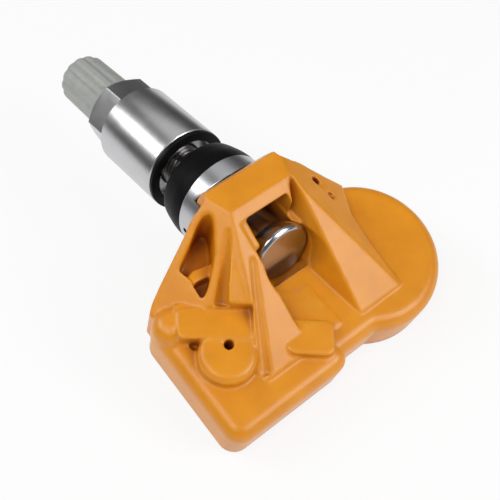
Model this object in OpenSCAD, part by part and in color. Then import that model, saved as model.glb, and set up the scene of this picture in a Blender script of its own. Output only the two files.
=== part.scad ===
// Tyre pressure sensor: a moulded sensor case that tilts on the ball head of a metal clamp-in valve.
// The origin is on the valve axis, at the rubber face that bears on the inside of the rim.
// Y runs along the valve towards its cap, X across the case, Z to the ribbed side of the case.

/* [Tilt] */
// Angle between the valve and the flat of the case, as stored
rest_tilt = 19; // [4:1:36]
// Smallest angle between the valve and the flat of the case
tilt_min = 0; // [0:1:3]
// Largest angle between the valve and the flat of the case
tilt_max = 40; // [37:1:42]

/* [Valve stem] */
// Distance from the rim face back to the middle of the ball head
ball_back = 21.2; // [20.6:0.1:22.5]
// Radius of the ball head
ball_r = 5.2; // [4.8:0.1:5.4]
// Radius of the round shank between the ball head and the thread
shank_r = 3.7; // [3.2:0.1:3.8]
// Width across the two flats that stop the shank turning in the case
shank_flats = 6.6; // [6:0.1:7]
// Radius over the thread that the nut runs on
stem_r = 4; // [3.9:0.05:4.3]
// Radius over the thread that the cap runs on
tip_thread_r = 3.8; // [3.6:0.05:3.85]
// Length of the cap thread
tip_thread_len = 10.1; // [8.5:0.1:10.4]
// Radius of the air passage
air_r = 1.2; // [0.9:0.05:1.4]
// Depth of the wide seat for the valve core
core_seat_depth = 11; // [10.5:0.1:12]
// Clearance between parts that turn or slide on each other
running_gap = 0.05; // [0.03:0.01:0.08]

/* [Collar and grommet] */
// Radius of the collar
collar_r = 8.36; // [8:0.05:8.5]
// Distance from the rim face back to the front face of the collar
collar_front = 5.68; // [5.3:0.05:5.9]
// Radius of the collar nose, which enters the hole in the rim
nose_r = 5.6; // [5.4:0.05:5.7]
// Height of the collar nose above the rim face
nose_len = 1.2; // [0.8:0.1:1.5]
// Radius of the rubber grommet at the rim face
grommet_front_r = 7.65; // [7:0.05:7.8]
// Radius of the tightening hole in the side of the collar
collar_hole_r = 0.55; // [0.3:0.05:0.7]

/* [Nut and washer] */
// Radius of the round part of the nut
nut_r = 7.5; // [7.3:0.05:7.8]
// Height of the nut
nut_len = 20.1; // [19:0.1:22]
// Width of the nut across its flats
nut_hex = 12; // [11:0.1:12.5]
// Height of the hexagon on the nut
nut_hex_len = 4.2; // [3:0.1:5]
// Height of the slope between the round part and the hexagon
nut_cone_len = 1.5; // [1:0.1:2.5]
// Room for the rim wall between the grommet and the washer
rim_room = 3.1; // [2.4:0.05:3.4]
// Thickness of the washer
washer_t = 0.68; // [0.5:0.02:0.9]
// Radius of the hole in the washer
washer_hole_r = 5.81; // [5.75:0.01:6]
// Width of the ring of the washer
washer_band = 1.65; // [1.4:0.05:1.9]
// Height of the wide mouth in the nut, which passes over the collar nose
nut_mouth_len = 1.6; // [1.3:0.1:2.5]

/* [Cap] */
// Radius of the cap at its open end
cap_base_r = 4.93; // [4.7:0.01:5.1]
// Radius of the cap at its closed end
cap_top_r = 4.75; // [4.5:0.01:4.85]
// Height of the cap
cap_len = 12.9; // [12.4:0.1:14]
// Number of grip flutes round the cap
cap_flutes = 14; // [8:1:16]
// Radius of one grip flute
cap_flute_r = 0.55; // [0.3:0.05:0.6]
// Thickness of the rubber seal in the cap
cap_seal_t = 1; // [0.6:0.1:1.2]

/* [Valve core] */
// Radius of the core barrel
core_r = 2.3; // [2.1:0.05:2.4]
// Length of the core barrel
core_barrel_len = 8; // [7:0.1:8.5]
// Radius of the pin through the core
core_pin_r = 0.55; // [0.45:0.05:0.65]
// Depth of the pin below the end of the stem
core_pin_depth = 0.6; // [0.4:0.05:1]
// Travel of the pin when it is pressed
core_travel = 1.5; // [1:0.1:1.8]

/* [Case] */
// Distance from the middle of the case to its straight left side
case_left = 23.1; // [22.6:0.1:26]
// Distance from the ball head to the straight front side of the case
case_front = 18.8; // [18.5:0.1:21]
// Height from the flat of the case down to its back
case_depth = 8.3; // [8:0.1:9.5]
// Depth of the flat of the case below the middle of the ball head
flat_below = 2.7; // [2.5:0.1:3]
// Radius of the round lobe that holds the battery
lobe_r = 12.7; // [12.5:0.1:13.4]
// Distance of the lobe to the right of the middle
lobe_x = 12.7; // [12.4:0.1:13.2]
// Distance of the lobe in front of the ball head
lobe_y = 6.6; // [6.4:0.1:7]
// Radius of the rounded top edge of the case
edge_r = 2.2; // [1.2:0.1:2.4]
// Thickness of the case walls
wall = 1.5; // [1.2:0.1:1.6]

/* [Bridge] */
// Height of the top of the bridge above the middle of the ball head
bridge_top = 7.5; // [7.3:0.1:8]
// Half the width of the top of the bridge
bridge_half = 6.5; // [6.2:0.1:7]
// Distance from the ball head to the front edge of the bridge
bridge_front = 7.8; // [7.4:0.1:8.2]
// Slope of the front face of the bridge and ribs
front_slope = 24.5; // [23:0.5:26]
// Slope of the wings to the side
wing_roll = 31.4; // [30:0.2:33]
// Slope of the wings to the front
wing_pitch = 11.6; // [10:0.2:13]
// Radius of the round back of the case, on which the collar bears
back_r = 14.4; // [14.2:0.05:14.6]

/* [Bosses] */
// Radius of the round boss over the pressure port
boss_r = 4.5; // [4:0.1:4.7]
// Height of the round boss above the flat
boss_h = 2.2; // [2:0.1:3]
// Radius of the pressure port
port_r = 0.75; // [0.5:0.05:1]
// Half the width of the long pill boss
pill_r = 2.3; // [2:0.05:2.5]
// Length of the pill boss
pill_len = 10.9; // [10.2:0.1:11.2]
// Height of the pill boss above the flat
pill_h = 2.4; // [2:0.1:3]

/* [Electronics] */
// Thickness of the back cover
cover_t = 1.2; // [1:0.1:1.3]
// Thickness of the circuit board
board_t = 0.8; // [0.6:0.1:1]
// Radius of the battery cell
cell_r = 10; // [9.5:0.1:10.2]
// Thickness of the battery cell
cell_t = 3.2; // [3:0.1:3.4]
// Thickness of the battery tabs
tab_t = 0.15; // [0.1:0.01:0.2]
// Side of the square sensor chip
chip_side = 5; // [4.5:0.1:5.4]
// Thickness of the sensor chip
chip_t = 1.6; // [1.4:0.1:1.8]
// Length of the pickup coil
coil_len = 7; // [6:0.1:8]

/* [Hidden] */

// Drawing helpers
big = 80;
smooth = 96;
soft = 32;

// Heights along the valve axis
nut_base = rim_room + washer_t;
// The ball head lies further back with a larger round back, so that the collar keeps its thickness
usual_back_r = 14.4;
head_back = ball_back + back_r - usual_back_r;
nut_top = nut_base + nut_len;
washer_r = washer_hole_r + washer_band;
// How far the nut's hexagon stands turned
nut_turned = 15;
tip_y = nut_top + tip_thread_len;
collar_seat_r = back_r + 0.2;
side_back_r = back_r - 2.6;
bridge_seat_half = bridge_half - 0.4;
stem_root_y = collar_seat_r - head_back;
neck_r = nose_r - 0.6;
air_start = ball_r + 1 - head_back;

// The valve core, measured up from the bottom of its seat
seat_y = tip_y - core_seat_depth;
seat_r = core_r + 0.3;
ring_t = 2;
ring_hole_r = core_pin_r + 0.25;
chamber_r = core_r - 0.6;
web_t = 1;
pin_top = tip_y - core_pin_depth;
pin_reach = 1.8;
pin_bottom = seat_y - pin_reach;
cup_len = 1.6;
flange_t = 0.4;
flange_y = seat_y + ring_t + core_travel + 2.5;
spring_wire_r = 0.16;
spring_rings = 5;
spring_low = seat_y + ring_t + spring_wire_r;
spring_high = flange_y - spring_wire_r;

// Heights in the case, measured from the middle of the ball head
flat_z = -flat_below;
back_z = flat_z - case_depth;
cover_top = back_z + cover_t;
room_top = flat_z - 1.2;
board_z = cover_top + 0.5;
board_top = board_z + board_t;
cell_room_top = board_top + tab_t + cell_t + tab_t + 0.35;
port_foot = board_top + chip_t + 0.6;
window_top = bridge_top - 1;
bridge_back = sqrt(back_r * back_r - bridge_top * bridge_top);

// Plan of the case: a square with rounded corners on the left, a neck and a round lobe
sq_corner = 2.8;
sq_right = -0.3;
sq_back = 3.6;
neck_left = -9;
neck_set_back = 1.6;
ledge = 0.6;
room_r = cell_r + 0.35;
room_right = -7;
mid_room_right = 5;
mid_room_len = 8.7;
pad_spots = [[-20, -2], [-20, -15.5], [-9, -15.5], [4, -11], [16, -14], [16, 0.5], [-9, 0.5]];

// Ball pocket, slot and channel
slot_half = shank_flats / 2 + 0.3;
pocket_r = ball_r + running_gap;
floor_gap = 0.35;
right_wall = [3.1, 25.3, 8.2];
left_wall = [5, 1, 2];
cheek_y = 2;
window_half = 3.9;

// The bridge and its two wings, seen from above
wing_start = (bridge_back + bridge_front) / 2;
left_end = case_left - 1.6;
right_end = lobe_x + 2.9;
front_end = 5.2 - case_front;
roof_plan = [[-bridge_seat_half, back_r + 1], [bridge_seat_half, back_r + 1], [bridge_half + 0.2, 11.3],
    [8.1, 10.3], [9.7, 9.3], [12.4, 6.7], [right_end - 0.3, 4.2], [right_end, 3.9], [right_end - 2.3, -0.9],
    [right_end - 2.5, -6], [right_end - 1.6, front_end - 0.5], [-left_end, front_end], [-left_end, 4.7],
    [-20.4, 5.6], [-18.2, 6.8], [-15.7, 8], [-13.2, 9.2], [-11.6, 10], [-10.5, 10.7], [-8.4, 11.3],
    [-bridge_half - 0.7, 11.8]];
// The deep window in the left wing and the shelf that crosses it
pocket_plan = [[-7.9, 9.8], [-8.7, 10.1], [-10.1, 9.6], [-12, 8.4], [-14, 7.3], [-15.1, 6.6], [-14.9, 5.6],
    [-14.6, 4.6], [-14.7, 2.8], [-14.8, 1.5], [-14.4, 1.3], [-13.3, 1.9], [-11.8, 3.2], [-10.2, 4.8],
    [-9.2, 6.4], [-8.2, 8], [-7.7, 9.3]];
shelf_plan = [[-16, 4.7], [-13.3, 5.7], [-10, 4.9], [-10.4, 3.2], [-11.6, 3.4], [-13.7, 3.8], [-16, 3.5]];

// Small pieces on and in the case
port_x = -15.5;
port_y = -6.4;
lump_len = 7.2;
lump_w = 5.4;
lump_corner = 1.3;
pill_turn = -36.3;
pill_corner = 0.9;
shoulder_r = 3.1;
shoulder_h = 1.9;
shoulder_edge = 2.5;
tab_w = 2.4;
coil_x = -19.5;
coil_y = -14.8;
coil_h = 2.6;
coil_bar = 1.6;
coil_lip = (coil_h - coil_bar) / 2;
coil_end = 1;
winding_h = 2.2;
loop_x = -21;
loop_y = -11;
loop_len = 12;
loop_w = 1;
loop_t = 0.4;
loop_h = room_top - board_top - 1;
crystal_x = -10.5;
crystal_y = -12.5;
crystal_len = 3.2;
crystal_w = 2.5;
crystal_h = 0.8;
capacitor_x = -9.3;
capacitor_y = -9;
capacitor_pitch = 2.2;
capacitor_len = 1.6;
capacitor_w = 0.8;

// Turns what is drawn along Z so that it runs along the valve
module along_valve(y) {
    translate([0, y, 0]) rotate([-90, 0, 0]) children();
}

// Places what is drawn round the middle of the ball head into the tilted case
module in_case() {
    translate([0, -head_back, 0]) rotate([rest_tilt, 0, 0]) children();
}

// A round part made from an outline of radius and height
module turned(outline) {
    rotate_extrude($fn = smooth) polygon(outline);
}

module valve_stem() {
    color("silver") difference() {
        union() {
            translate([0, -head_back, 0]) intersection() {
                sphere(r = ball_r, $fn = smooth);
                translate([-big / 2, 0, -big / 2]) cube(big);
            }
            intersection() {
                along_valve(1 - head_back)
                    cylinder(r = shank_r, h = head_back + stem_root_y - 1, $fn = smooth);
                translate([-shank_flats / 2, -big, -big / 2]) cube([shank_flats, 2 * big, big]);
            }
            along_valve(stem_root_y) cylinder(r = stem_r, h = nut_top - stem_root_y, $fn = smooth);
            along_valve(nut_top - 0.01) cylinder(r = tip_thread_r, h = tip_thread_len + 0.01, $fn = smooth);
        }
        along_valve(air_start) cylinder(r = air_r, h = big, $fn = smooth);
        along_valve(seat_y) cylinder(r = seat_r, h = big, $fn = smooth);
        // The air leaves by a cross hole in the shank
        translate([0, air_start + air_r, 0]) cylinder(r = air_r * 0.8, h = shank_r + 1, $fn = soft);
    }
}

// A round bar across the valve, on which the collar bears
module roller(r, half) {
    rotate([0, 90, 0]) cylinder(r = r, h = 2 * half, center = true, $fn = smooth);
}

module collar() {
    color("silver") difference() {
        union() {
            along_valve(-head_back) cylinder(r = collar_r, h = head_back - collar_front, $fn = smooth);
            along_valve(-head_back) cylinder(r = neck_r, h = head_back + 0.2, $fn = smooth);
            along_valve(0) cylinder(r = nose_r, h = nose_len, $fn = smooth);
        }
        translate([0, -head_back, 0]) roller(collar_seat_r, bridge_seat_half + 0.25);
        translate([0, -head_back, 0]) roller(side_back_r + 0.2, big / 2);
        along_valve(-head_back) cylinder(r = stem_r, h = big, $fn = smooth);
        translate([1.6 - collar_r, -collar_front - 1.6, 0]) rotate([0, -90, 0])
            cylinder(r = collar_hole_r, h = 3, $fn = soft);
    }
}

module grommet() {
    front = collar_front;
    color([0.1, 0.1, 0.11]) along_valve(-collar_front) turned([[neck_r, 0], [collar_r, 0], [collar_r, 1.9],
        [grommet_front_r, 2.5], [grommet_front_r, front - 0.5], [grommet_front_r - 0.5, front],
        [nose_r + 0.15, front], [neck_r, front - 0.75]]);
}

module washer() {
    color([0.12, 0.12, 0.13]) along_valve(rim_room) turned([[washer_hole_r, 0], [washer_r - 0.21, 0],
        [washer_r, 0.2], [washer_r, washer_t], [washer_hole_r, washer_t]]);
}

module nut() {
    color("silver") along_valve(nut_base) difference() {
        union() {
            turned([[0, 0], [nut_r - 0.3, 0], [nut_r, 0.3], [nut_r, nut_len - nut_hex_len - nut_cone_len],
                [nut_hex / 2, nut_len - nut_hex_len], [0, nut_len - nut_hex_len]]);
            translate([0, 0, nut_len / 2]) rotate(nut_turned) intersection() {
                cylinder(d = nut_hex / cos(30), h = nut_len / 2, $fn = 6);
                translate([0, 0, -nut_len / 2]) turned([[0, 0], [nut_r, 0], [nut_r, nut_len - 1.2],
                    [nut_hex / 2, nut_len], [0, nut_len]]);
            }
        }
        translate([0, 0, -1]) cylinder(r = stem_r + running_gap, h = nut_len + 2, $fn = smooth);
        translate([0, 0, -1]) cylinder(r = washer_hole_r, h = nut_mouth_len + 1, $fn = smooth);
    }
}

module core_barrel() {
    top = core_barrel_len;
    color("goldenrod") along_valve(seat_y + ring_t) difference() {
        cylinder(r = seat_r, h = top, $fn = smooth);
        translate([0, 0, -1]) cylinder(r = core_pin_r + running_gap, h = top + 2, $fn = soft);
        translate([0, 0, -1]) cylinder(r = chamber_r, h = top + 1 - web_t, $fn = soft);
        // Two small holes let the air past the pin
        for (side = [-1, 1])
            translate([side * (core_pin_r + 0.9), 0, top - web_t - 1])
                cylinder(r = 0.3, h = web_t + 2, $fn = soft);
    }
}

module core_ring() {
    color("white") along_valve(seat_y) difference() {
        cylinder(r = seat_r, h = ring_t, $fn = smooth);
        translate([0, 0, -1]) cylinder(r = ring_hole_r, h = ring_t + 2, $fn = soft);
    }
}

module core_pin() {
    color("gold") {
        along_valve(pin_bottom) cylinder(r = core_pin_r, h = pin_top - pin_bottom, $fn = soft);
        along_valve(flange_y) cylinder(r = chamber_r - 0.3, h = flange_t, $fn = soft);
    }
}

module core_cup() {
    color([0.15, 0.15, 0.15]) along_valve(seat_y - cup_len) difference() {
        cylinder(r = air_r - 0.15, h = cup_len, $fn = soft);
        translate([0, 0, -1]) cylinder(r = core_pin_r, h = cup_len + 2, $fn = soft);
    }
}

// The spring is drawn as rings one pitch apart
module core_spring() {
    pitch = (spring_high - spring_low) / (spring_rings - 1);
    color("gray") for (i = [0:spring_rings - 1])
        along_valve(spring_low + pitch * i) rotate_extrude($fn = soft)
            translate([core_pin_r + 0.45, 0]) circle(r = spring_wire_r, $fn = 16);
}

module cap() {
    color([0.45, 0.5, 0.45]) along_valve(nut_top + 0.1) difference() {
        turned([[0, 0], [cap_base_r, 0], [cap_base_r, 2.2], [cap_top_r, cap_len - 1.1],
            [cap_top_r - 0.9, cap_len], [0, cap_len]]);
        translate([0, 0, -1])
            cylinder(r = tip_thread_r + running_gap, h = tip_thread_len + 1 + cap_seal_t, $fn = smooth);
        for (i = [0:cap_flutes - 1])
            rotate(i * 360 / cap_flutes) translate([cap_base_r + 0.12, 0, 2.6])
                cylinder(r = cap_flute_r, h = cap_len, $fn = soft);
    }
}

module cap_seal() {
    color([0.1, 0.1, 0.1]) along_valve(tip_y + 0.1) difference() {
        cylinder(r = tip_thread_r, h = cap_seal_t - 0.02, $fn = smooth);
        translate([0, 0, -1]) cylinder(r = 1.5, h = 1.6, $fn = soft);
    }
}

// A column with a rounded top edge, for the corners of the case
module post(r, roundness) {
    rotate_extrude($fn = roundness) intersection() {
        square([r, case_depth]);
        union() {
            square([r - edge_r, case_depth]);
            square([r, case_depth - edge_r]);
            translate([r - edge_r, case_depth - edge_r]) circle(r = edge_r, $fn = roundness);
        }
    }
}

// A block with rounded corners and a rounded top edge
module pad(x0, x1, y0, y1) {
    hull() for (x = [x0 + sq_corner, x1 - sq_corner], y = [y0 + sq_corner, y1 - sq_corner])
        translate([x, y, back_z]) post(sq_corner, soft);
}

module lobe() {
    translate([lobe_x, -lobe_y, back_z]) post(lobe_r, smooth);
}

// Everything under a plane that passes through a point
module under(point, turn) {
    translate(point) rotate(turn) translate([-big, -big, -2 * big]) cube(2 * big);
}

module roof() {
    intersection() {
        translate([0, 0, back_z]) linear_extrude(bridge_top - back_z) polygon(roof_plan);
        under([0, bridge_front, bridge_top], [front_slope, 0, 0]);
        under([bridge_half, wing_start, bridge_top], [wing_pitch, wing_roll, 0]);
        under([-bridge_half, wing_start, bridge_top], [wing_pitch, -wing_roll, 0]);
        // The collar bears on the round back, whose axis is the tilt axis
        union() {
            roller(back_r, big / 2);
            translate([-big / 2, -big, -big / 2]) cube(big);
        }
    }
}

// The raised band on the left rib, whose own plane lies between the front slope and the wing
module left_band() {
    intersection() {
        translate([0, 0, flat_z]) linear_extrude(bridge_top - flat_z)
            polygon([[-bridge_half - 0.1, 7.4], [-12.7, -2.1], [-13.6, -6], [-12, -7.4],
                [-9.6, -3.7], [-7.4, 1], [-5.9, 3]]);
        under([0, bridge_front, bridge_top], [front_slope, 0, 0]);
        under([-bridge_half, wing_start, bridge_top], [19.7, -9.1, 0]);
    }
}

// Half of the channel between the ribs: all that lies inside one wall, given its foot, lean and flare
module channel_side(side) {
    translate([side[0], -2.5, flat_z]) rotate([0, side[1], side[2]])
        translate([-2 * big, -big, -big]) cube(2 * big);
}

module channel() {
    intersection() {
        channel_side(right_wall);
        mirror([1, 0, 0]) channel_side(left_wall);
        translate([-big / 2, -case_front, flat_z])
            cube([big, case_front + bridge_front - 0.6, window_top - flat_z]);
        // Behind the ball a narrower window, whose floor is the seat, passes between two cheeks
        union() {
            translate([-big / 2, cheek_y - big, -big / 2]) cube(big);
            translate([-window_half, cheek_y - 0.1, 2.4]) cube([2 * window_half, big, big]);
        }
    }
}

// The valley that parts the right rib from the bridge
module right_valley() {
    intersection() {
        channel_side(right_wall);
        translate([0, 0, 2.4]) linear_extrude(big)
            polygon([[2.9, cheek_y - 0.1], [4.1, 4.7], [5.1, 6.9], [5.8, 7.8], [7.2, 7], [7.6, cheek_y - 0.1]]);
    }
}

// Room for the half ball at every tilt, measured in the case. The wedge stays solid as the pocket's front lip
module ball_room() {
    reach = 20;
    lip_z = (floor_gap - cos(tilt_max) * floor_gap) / sin(tilt_max);
    difference() {
        sphere(r = pocket_r, $fn = smooth);
        translate([-reach, 0, 0]) rotate([90, 0, 90]) linear_extrude(2 * reach)
            polygon([[-floor_gap, lip_z], [-floor_gap, reach], [-reach, reach],
                [-reach, (floor_gap - cos(tilt_max) * reach) / sin(tilt_max)]]);
    }
}

// The slot that the flat shank swings in, from the smallest tilt to the largest
module shank_slot() {
    room = shank_r + 0.3;
    far = 30;
    low = tilt_min - 1;
    high = tilt_max + 1;
    translate([-slot_half, 0, 0]) rotate([90, 0, 90]) linear_extrude(2 * slot_half)
        polygon([[room * sin(low), room * cos(low)], [room * sin(low) + far * cos(low), room * cos(low) - far * sin(low)],
            [far * 2, -far], [far * cos(high) - room * sin(high), -far * sin(high) - room * cos(high)],
            [-room * sin(high), -room * cos(high)]]);
}

// All that stands in the path of the collar behind the round back of the case
module collar_path() {
    difference() {
        union() {
            rotate([1 - tilt_min - 90, 0, 0]) cylinder(r = collar_r + 0.3, h = big, $fn = smooth);
            translate([-collar_r - 0.15, 0, 1 - big]) cube([2 * collar_r + 0.3, big, big]);
        }
        roller(back_r, bridge_seat_half);
        roller(side_back_r, big / 2);
    }
}

// The way by which the ball head comes into its pocket from the front
module ball_path() {
    intersection() {
        rotate([90 - tilt_max, 0, 0]) cylinder(r = pocket_r + 0.25, h = big, $fn = smooth);
        translate([-big / 2, -big / 2, flat_z]) cube(big);
    }
}

// The deep window in the left wing, with a shelf half way
module wing_window() {
    translate([0, 0, -1.6]) linear_extrude(big) difference() {
        polygon(pocket_plan);
        polygon(shelf_plan);
    }
    translate([0, 0, 0.5]) linear_extrude(big) intersection() {
        polygon(pocket_plan);
        polygon(shelf_plan);
    }
}

// A tapered groove between two points, with its radius at each
module groove(start, end, r1, r2) {
    run = end - start;
    translate(start) rotate([0, acos(run[2] / norm(run)), atan2(run[1], run[0])])
        cylinder(r1 = r1, r2 = r2, h = norm(run), $fn = soft);
}

// The valley and the groove beside the raised band on the left rib
module left_grooves() {
    intersection() {
        union() {
            groove([-7, 6.2, 6.3], [-13.3, -1.5, 0.7], 0.3, 1.3);
            groove([-6.1, 1.1, 4.7], [-13.6, -13.1, -1.9], 0.5, 1);
        }
        translate([-big / 2, -big / 2, flat_z]) cube(big);
    }
}

// A shallow recess beside the window, under the front slope
module left_cheek() {
    intersection() {
        translate([-5.2, 1.6, 0]) cube([2, 4.3, big]);
        translate([0, bridge_front, bridge_top - 0.35]) rotate([front_slope, 0, 0])
            translate([-big / 2, -big / 2, 0]) cube(big);
    }
}

// The slit in the right wing, deeper at both ends
module right_slit() {
    translate([11.2, 4.5, 3.4]) rotate([0, 0, 20]) {
        translate([-0.5, -2.2, -0.2]) cube([0.8, 4.4, 3]);
        for (y = [-2.2, 1.1]) translate([-0.6, y, -1.6]) cube([1, 1.2, 4]);
    }
}

module boss() {
    translate([port_x - 0.8, port_y - 1, flat_z - 1]) rotate_extrude($fn = smooth) {
        square([boss_r - 1.3, boss_h + 1]);
        square([boss_r, boss_h - 0.3]);
        translate([boss_r - 1.3, boss_h - 0.3]) circle(r = 1.3, $fn = soft);
    }
}

// The corners of the pill boss are round
module pill() {
    translate([-19, 0, flat_z - 1]) rotate(pill_turn) linear_extrude(pill_h + 1) {
        translate([pill_corner - 0.9, -pill_r]) square([pill_len - pill_corner, 2 * pill_r]);
        translate([-0.9, pill_corner - pill_r]) square([pill_len, 2 * (pill_r - pill_corner)]);
        for (y = [-1, 1])
            translate([pill_corner - 0.9, y * (pill_r - pill_corner)]) circle(r = pill_corner, $fn = soft);
    }
}

// The wing and its band end at the sides of the pill boss
module over_pill() {
    translate([-19, 0, flat_z + pill_h - 0.1]) rotate(pill_turn)
        translate([-0.9, -pill_r]) cube([pill_len, 2 * pill_r, big]);
}

// The foot of the pill boss closes the foot of the left wing
module pill_foot() {
    translate([-18.8, 0.3, flat_z - 1]) rotate(pill_turn) linear_extrude(pill_h + 0.6)
        translate([-1.5, -1]) square([pill_len - 3.5, 3.6]);
}

// The case swells into a round shoulder beside the pill boss
module shoulder() {
    translate([shoulder_r - case_left + 0.05, 1, flat_z - 4]) rotate_extrude($fn = smooth) {
        square([shoulder_r - shoulder_edge, shoulder_h + 4]);
        square([shoulder_r, shoulder_h + 4 - shoulder_edge]);
        translate([shoulder_r - shoulder_edge, shoulder_h + 4 - shoulder_edge]) intersection() {
            circle(r = shoulder_edge, $fn = smooth);
            square(shoulder_edge);
        }
    }
}

// A recess between the pill boss, its shoulder and the round boss
module recess() {
    translate([0, 0, flat_z - 0.8]) linear_extrude(big) polygon([[-20, -1.9], [-17.6, -3.4], [-19.2, -4.5]]);
}

// A low step on the left half of the channel's floor
module floor_step() {
    translate([0, 0, flat_z - 0.5]) linear_extrude(0.75)
        polygon([[0.8, -2.8], [1.5, -13], [0.3, -13.4], [-5.5, -10], [-5.5, -2.8]]);
}

module lump() {
    translate([-4.5, -12.5, flat_z - 0.5]) rotate(-38) linear_extrude(2.1) {
        square([lump_len - 2 * lump_corner, lump_w], center = true);
        square([lump_len, lump_w - 2 * lump_corner], center = true);
        for (sx = [-1, 1], sy = [-1, 1])
            translate([sx * (lump_len / 2 - lump_corner), sy * (lump_w / 2 - lump_corner)])
                circle(r = lump_corner, $fn = smooth);
    }
}

// The outline of the inner rooms, grown by a step. The cover and board use it too
module room_outline(grow) {
    translate([-case_left + wall - grow, -case_front + wall - grow])
        square([case_left - wall + room_right + 2 * grow, case_front - 2 * wall + sq_back + 2 * grow]);
    translate([room_right - 0.5, -case_front + wall + neck_set_back - grow])
        square([mid_room_right - room_right + 0.5, mid_room_len + 2 * grow]);
    translate([lobe_x, -lobe_y]) circle(r = room_r + grow, $fn = smooth);
}

module rooms() {
    translate([0, 0, back_z - 1]) linear_extrude(cover_t + 1) room_outline(ledge);
    translate([0, 0, cover_top - 0.01]) linear_extrude(cell_room_top - cover_top) room_outline(0);
    translate([0, 0, cover_top]) linear_extrude(room_top - cover_top) intersection() {
        room_outline(0);
        translate([-big, -big]) square([big + mid_room_right, 2 * big]);
    }
}

module port_tube() {
    translate([port_x, port_y, port_foot]) cylinder(r = 2.2, h = flat_z - port_foot, $fn = smooth);
}

module housing() {
    color([0.88, 0.58, 0.16]) in_case() difference() {
        union() {
            difference() {
                union() {
                    pad(-case_left, sq_right, -case_front, sq_back);
                    pad(neck_left, lobe_x, -case_front + neck_set_back, sq_back);
                    lobe();
                    roof();
                    left_band();
                    shoulder();
                }
                channel();
                right_valley();
                rooms();
                wing_window();
                left_grooves();
                left_cheek();
                right_slit();
                recess();
                over_pill();
            }
            difference() {
                pill_foot();
                recess();
            }
            pill();
            boss();
            floor_step();
            lump();
            port_tube();
        }
        ball_room();
        ball_path();
        shank_slot();
        collar_path();
        translate([port_x, port_y, port_foot - 1]) cylinder(r = port_r, h = big, $fn = soft);
        translate([port_x, port_y, port_foot - 1]) cylinder(r = 1.4, h = 1.3, $fn = soft);
    }
}

module back_cover() {
    color([0.82, 0.53, 0.15]) in_case() {
        translate([0, 0, back_z]) linear_extrude(cover_t) room_outline(ledge);
        for (spot = pad_spots)
            translate([spot[0], spot[1], cover_top]) cylinder(r = 0.9, h = board_z - cover_top, $fn = soft);
    }
}

module circuit_board() {
    color("darkgreen") in_case() translate([0, 0, board_z]) linear_extrude(board_t) room_outline(-0.3);
}

module battery_cell() {
    color("lightgray") in_case() translate([lobe_x, -lobe_y, board_top + tab_t]) {
        cylinder(r = cell_r, h = cell_t - 0.5, $fn = smooth);
        cylinder(r = cell_r - 1.2, h = cell_t, $fn = smooth);
    }
}

module battery_tab_bottom() {
    color("silver") in_case() translate([lobe_x - cell_r - 2.2, -lobe_y - tab_w - 1.3, board_top])
        cube([cell_r + 5, tab_w, tab_t]);
}

module battery_tab_top() {
    top = board_top + tab_t + cell_t;
    foot_x = lobe_x - cell_r - 0.8;
    foot_y = -lobe_y - 6.5;
    color("silver") in_case() {
        translate([lobe_x - cell_r - 0.8, foot_y, top]) cube([cell_r + 2, tab_w, tab_t]);
        translate([foot_x, foot_y, board_top]) cube([tab_t, tab_w, top + tab_t - board_top]);
        translate([foot_x - 1, foot_y, board_top]) cube([1.1, tab_w, tab_t]);
    }
}

module sensor_chip() {
    color([0.15, 0.15, 0.16]) in_case() translate([port_x, port_y, board_top]) difference() {
        translate([-chip_side / 2, -chip_side / 2, 0]) cube([chip_side, chip_side, chip_t]);
        translate([0, 0, chip_t - 0.5]) cylinder(r = 0.6, h = 1, $fn = soft);
    }
}

module port_seal() {
    color([0.1, 0.1, 0.1]) in_case() translate([port_x, port_y, board_top + chip_t]) difference() {
        cylinder(r = 2.1, h = port_foot - board_top - chip_t, $fn = smooth);
        translate([0, 0, -1]) cylinder(r = 1.1, h = 3, $fn = smooth);
    }
}

module port_filter() {
    color("white") in_case() translate([port_x, port_y, port_foot + 0.1])
        cylinder(r = 1.4, h = 0.2, $fn = soft);
}

module crystal() {
    color("silver") in_case() translate([crystal_x, crystal_y, board_top])
        cube([crystal_len, crystal_w, crystal_h]);
}

module coil_core() {
    color([0.2, 0.2, 0.2]) in_case() translate([coil_x, coil_y, board_top]) {
        for (x = [0, coil_len - coil_end]) translate([x, 0, 0]) cube([coil_end, coil_h, coil_h]);
        translate([coil_end - 0.1, coil_lip, coil_lip]) cube([coil_len - 2 * coil_end + 0.2, coil_bar, coil_bar]);
    }
}

module coil_winding() {
    color("chocolate") in_case() translate([coil_x + coil_end, coil_y, board_top]) difference() {
        edge = (coil_h - winding_h) / 2;
        translate([0, edge, edge]) cube([coil_len - 2 * coil_end, winding_h, winding_h]);
        translate([-1, coil_lip, coil_lip]) cube([coil_len, coil_bar, coil_bar]);
    }
}

module antenna_loop() {
    color("silver") in_case() translate([loop_x, loop_y, board_top]) {
        for (y = [0, loop_len - loop_t]) translate([0, y, 0]) cube([loop_w, loop_t, loop_h]);
        translate([0, 0, loop_h - loop_t]) cube([loop_w, loop_len, loop_t]);
    }
}

module capacitors() {
    color("tan") in_case() for (i = [0:3])
        translate([capacitor_x, capacitor_y + i * capacitor_pitch, board_top])
            cube([capacitor_len, capacitor_w, capacitor_w]);
}

housing();
back_cover();
circuit_board();
battery_cell();
battery_tab_top();
battery_tab_bottom();
sensor_chip();
port_seal();
port_filter();
crystal();
coil_core();
coil_winding();
antenna_loop();
capacitors();
valve_stem();
collar();
grommet();
washer();
nut();
core_barrel();
core_ring();
core_pin();
core_cup();
core_spring();
cap();
cap_seal();
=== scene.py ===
import math
import bmesh
import bpy
import numpy as np
from mathutils import Matrix, Vector


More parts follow.
